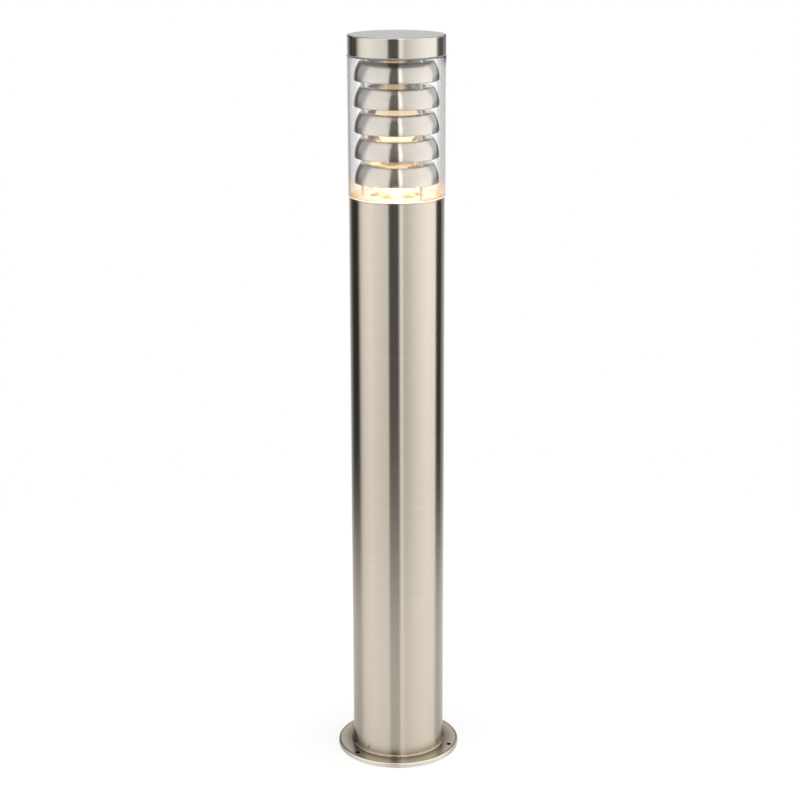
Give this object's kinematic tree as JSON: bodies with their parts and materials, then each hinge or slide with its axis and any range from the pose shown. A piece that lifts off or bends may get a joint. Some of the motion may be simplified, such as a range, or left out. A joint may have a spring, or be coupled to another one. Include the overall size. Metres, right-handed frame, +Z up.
{
  "type": "bollard light",
  "caption": "Round brushed-steel garden bollard light with stacked louvres in a clear cylinder, flat cap, lift-off head and a screw-in lamp",
  "frame": {"origin": "centre of the base plate's underside, on the ground", "axes": "+Z up along the post; -Y is the front, +X to the right seen from the front"},
  "size_m": [0.17, 0.17, 1],
  "materials": {
    "post_steel": "brushed stainless, grain along the post",
    "cap_steel": "brushed stainless",
    "louvre_steel": "spun and brushed stainless",
    "weld_bead": "dressed weld",
    "rod_steel": "bright drawn stainless",
    "bracket_steel": "plain sheet steel",
    "fastener_steel": "bright stainless",
    "cast_aluminium": "satin machined casting",
    "reflector_mirror": "satin anodised reflector",
    "clear_cylinder": "clear polycarbonate",
    "silicone": "translucent silicone",
    "black_rubber": "matt black",
    "porcelain": "white glaze",
    "brass_parts": "plain brass",
    "block_nylon": "white nylon",
    "live_sleeve": "brown silicone sleeve",
    "neutral_sleeve": "blue silicone sleeve",
    "earth_sleeve": "green and yellow sleeve",
    "lamp_glass": "warm opal, lit",
    "lamp_metal": "nickel-plated",
    "lamp_insulator": "black vitrite",
    "lamp_plastic": "white"
  },
  "bodies": {
    "post": {"base_plate": "post_steel", "base_weld": "weld_bead", "post_tube": "post_steel", "cable_grommet": "black_rubber", "bridge_lugs": "bracket_steel", "lamp_bridge": "bracket_steel", "bridge_screws": "fastener_steel", "holder_body": "porcelain", "holder_shell": "brass_parts", "holder_contact": "brass_parts", "holder_terminals": "brass_parts", "holder_screws": "fastener_steel", "terminal_block": "block_nylon", "terminal_screws": "brass_parts", "block_screw": "fastener_steel", "live_lead": "live_sleeve", "neutral_lead": "neutral_sleeve", "earth_lead": "earth_sleeve", "earth_screw": "fastener_steel", "earth_nut": "fastener_steel", "earth_tag": "brass_parts"},
    "head": {"head_carrier": "cast_aluminium", "spigot_seal": "black_rubber", "retaining_clips": "fastener_steel", "clip_rivets": "cast_aluminium", "rod_nuts": "fastener_steel", "rod_washers": "fastener_steel", "reflector_plate": "reflector_mirror", "bottom_gasket": "silicone", "diffuser": "clear_cylinder", "top_gasket": "silicone", "cap_plate": "cast_aluminium", "top_cap": "cap_steel", "louvre_1": "louvre_steel", "louvre_2": "louvre_steel", "louvre_3": "louvre_steel", "louvre_4": "louvre_steel", "louvre_5": "louvre_steel", "tie_rod_1": "rod_steel", "tie_rod_2": "rod_steel", "tie_rod_3": "rod_steel", "spacers_1": "rod_steel", "spacers_2": "rod_steel", "spacers_3": "rod_steel", "spacers_4": "rod_steel", "spacers_5": "rod_steel", "spacers_6": "rod_steel"},
    "lamp_carriage": {"lamp_contact": "lamp_metal"},
    "lamp": {"lamp_bulb": "lamp_glass", "lamp_cap": "lamp_metal", "lamp_insulator": "lamp_insulator", "lamp_board": "lamp_plastic", "lamp_driver": "lamp_plastic"}
  },
  "joints": [
    {"name": "head_lift", "type": "slide", "parent": "post", "child": "head", "axis": [0, 0, 1], "range_m": [0, 0.2]},
    {"name": "lamp_rise", "type": "slide", "parent": "post", "child": "lamp_carriage", "axis": [0, 0, 1], "range_m": [0, 0.01452]},
    {"name": "lamp_turn", "type": "hinge", "parent": "lamp_carriage", "child": "lamp", "pos_m": [0, 0, 0.85], "axis": [0, 0, 1], "range_deg": [0, 1440]}
  ],
  "couplings": [
    {"joint": "lamp_rise", "follows": "lamp_turn", "m_per_rad": 0.00057758}
  ]
}
